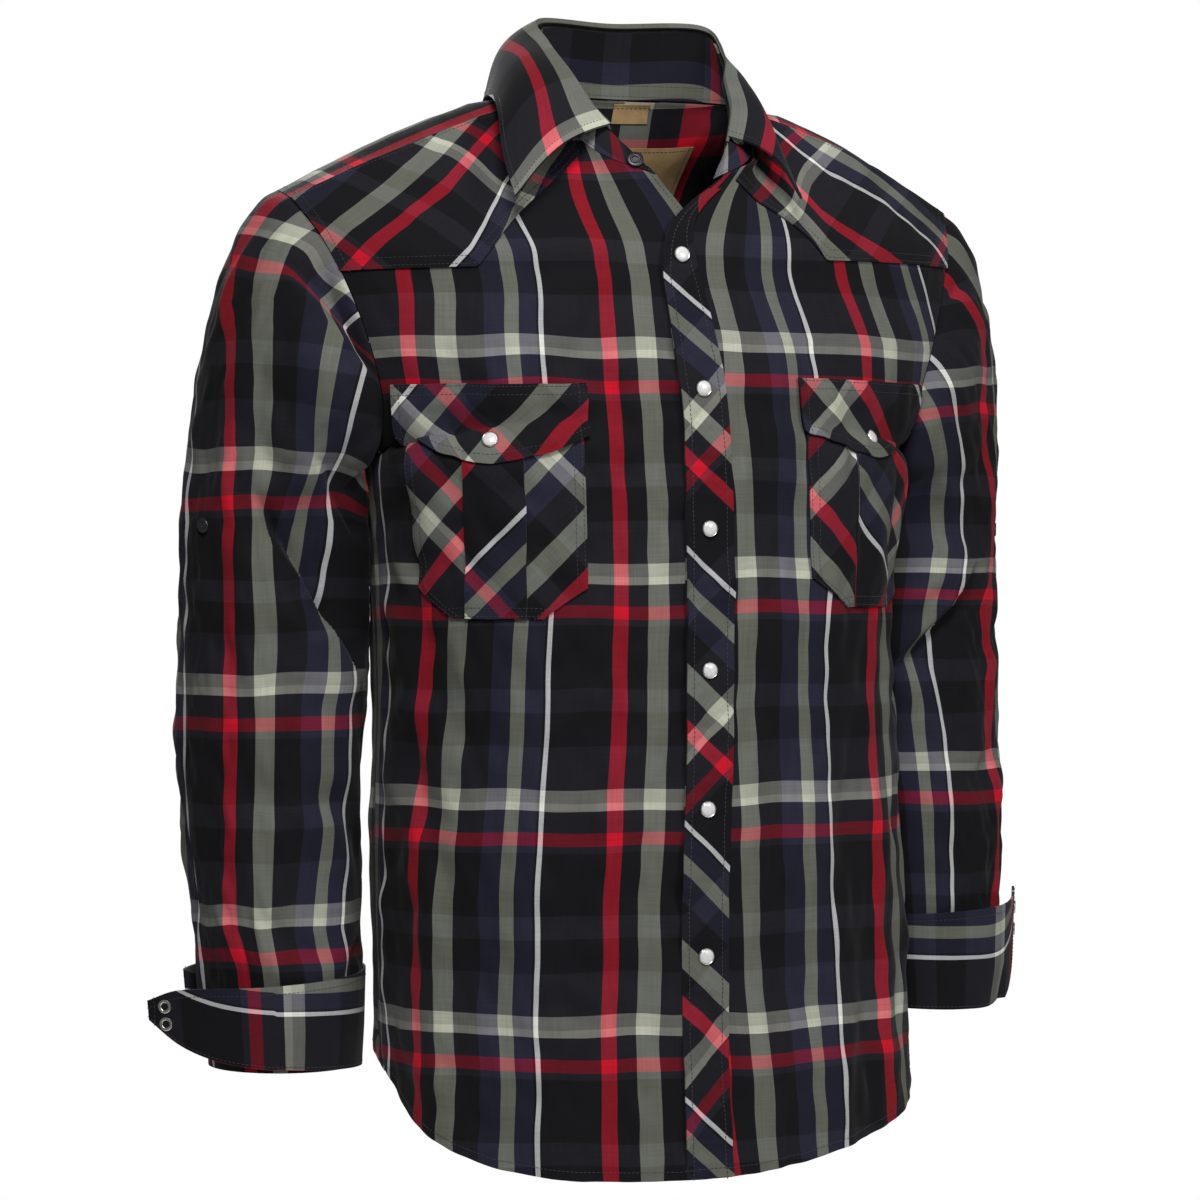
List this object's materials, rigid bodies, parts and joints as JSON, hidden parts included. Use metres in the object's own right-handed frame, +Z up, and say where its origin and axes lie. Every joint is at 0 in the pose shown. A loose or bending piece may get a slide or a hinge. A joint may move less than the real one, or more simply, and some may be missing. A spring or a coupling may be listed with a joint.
{
  "type": "western snap shirt",
  "caption": "Long-sleeved plaid western snap shirt in its worn, hollow form, with pointed yokes, flapped pockets, open neck and turned-back cuffs.",
  "frame": {"origin": "on the upright line that the wearer's body stands round, at the height of the sides of the neck", "axes": "+Z up, +X to the wearer's left, -Y in front"},
  "size_m": [0.6479, 0.2554, 0.7968],
  "materials": {
    "plaid": "woven plaid cotton, straight grain, dull",
    "plaid_bias": "woven plaid cotton, dull; bias cut on the front yokes, placket, pockets and flaps",
    "plaid_fused": "woven plaid cotton in two layers with interlining, dull",
    "label": "plain woven label, bare",
    "pearl": "pearl snap cap in a metal rim",
    "nickel": "nickel-plated snap ring",
    "resin": "dark resin button"
  },
  "bodies": {
    "root": {"back": "plaid", "back_yoke": "plaid_bias", "collar_leaf": "plaid_fused", "collar_stand": "plaid_fused", "cuff_left": "plaid_fused", "cuff_right": "plaid_fused", "cuff_snap_left_back_1": "nickel", "cuff_snap_left_back_2": "nickel", "cuff_snap_left_front_1": "nickel", "cuff_snap_left_front_2": "nickel", "cuff_snap_right_back_1": "nickel", "cuff_snap_right_back_2": "nickel", "cuff_snap_right_front_1": "nickel", "cuff_snap_right_front_2": "nickel", "flap_left": "plaid_bias", "flap_right": "plaid_bias", "front_left": "plaid", "front_right": "plaid", "front_yoke_left": "plaid_bias", "front_yoke_right": "plaid_bias", "label_neck": "label", "label_size": "label", "placket": "plaid_bias", "pocket_left": "plaid_bias", "pocket_right": "plaid_bias", "sleeve_left": "plaid", "sleeve_right": "plaid", "snap_1": "pearl", "snap_2": "pearl", "snap_3": "pearl", "snap_4": "pearl", "snap_5": "pearl", "snap_6": "pearl", "snap_flap_left": "pearl", "snap_flap_right": "pearl", "snap_stand": "nickel", "snap_stand_cap": "pearl", "tab_button_left": "resin", "tab_button_right": "resin"}
  },
  "joints": []
}
